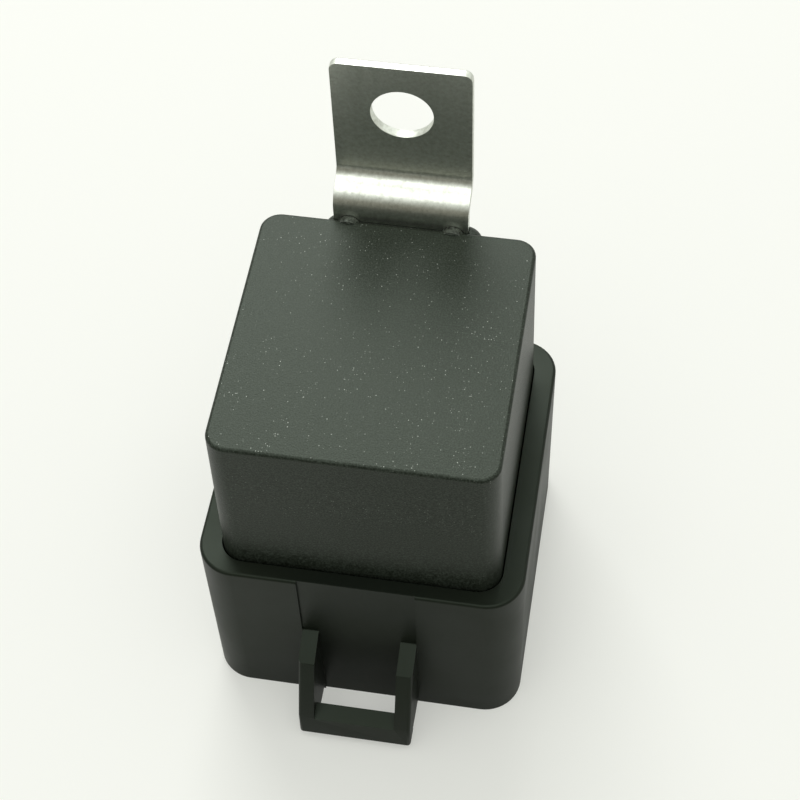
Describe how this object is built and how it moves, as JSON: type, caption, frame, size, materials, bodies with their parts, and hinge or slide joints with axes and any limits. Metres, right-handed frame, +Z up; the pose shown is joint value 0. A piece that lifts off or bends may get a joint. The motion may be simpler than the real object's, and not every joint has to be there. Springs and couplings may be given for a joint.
{
  "type": "automotive relay",
  "caption": "Sealed cube relay with a connector skirt, a latch loop, flat blade terminals and a bent steel mounting strip.",
  "frame": {"origin": "middle of the skirt's open mouth, on its rim plane", "axes": "+Z up through the case, from the mouth to the mounting strip; -Y is the latch side; +Y is the strip side"},
  "size_m": [0.034, 0.0421, 0.0624],
  "materials": {
    "case_plastic": "moulded, fine eroded texture, black",
    "skirt_plastic": "moulded, fine eroded texture, black",
    "plated_steel": "zinc-plated strip with cut edges",
    "base_plastic": "moulded, black",
    "resin": "cast epoxy, satin",
    "tinned_brass": "tinned, satin",
    "magnet_steel": "zinc-plated soft iron",
    "bobbin_plastic": "moulded, natural",
    "enamelled_copper": "enamelled copper wire",
    "spring_bronze": "rolled leaf",
    "contact_silver": "silver alloy",
    "rivet_brass": "headed rivets",
    "resistor_ceramic": "lacquered body, tinned leads"
  },
  "bodies": {
    "housing": {"cover": "case_plastic", "skirt": "skirt_plastic", "mounting_bracket": "plated_steel", "terminal_base": "base_plastic", "sealing_resin": "resin", "open_terminal": "tinned_brass", "closed_terminal": "tinned_brass", "common_terminal": "tinned_brass", "coil_terminal_left": "tinned_brass", "coil_terminal_right": "tinned_brass", "magnet_yoke": "magnet_steel", "pole_core": "magnet_steel", "coil_bobbin": "bobbin_plastic", "coil_winding": "enamelled_copper", "fixed_contact_open": "contact_silver", "fixed_contact_closed": "contact_silver", "yoke_rivets": "rivet_brass", "damping_resistor": "resistor_ceramic"},
    "armature_set": {"armature": "magnet_steel", "contact_spring": "spring_bronze", "moving_contact": "contact_silver", "armature_rivets": "rivet_brass"}
  },
  "joints": [
    {"name": "armature_pivot", "type": "hinge", "parent": "housing", "child": "armature_set", "pos_m": [0, 0.0115, 0.0365], "axis": [1, 0, 0], "range_deg": [0, 2.45], "stiffness_Nm_per_rad": 0.15, "springref_deg": -3.44, "deforming": ["contact_spring"]}
  ]
}
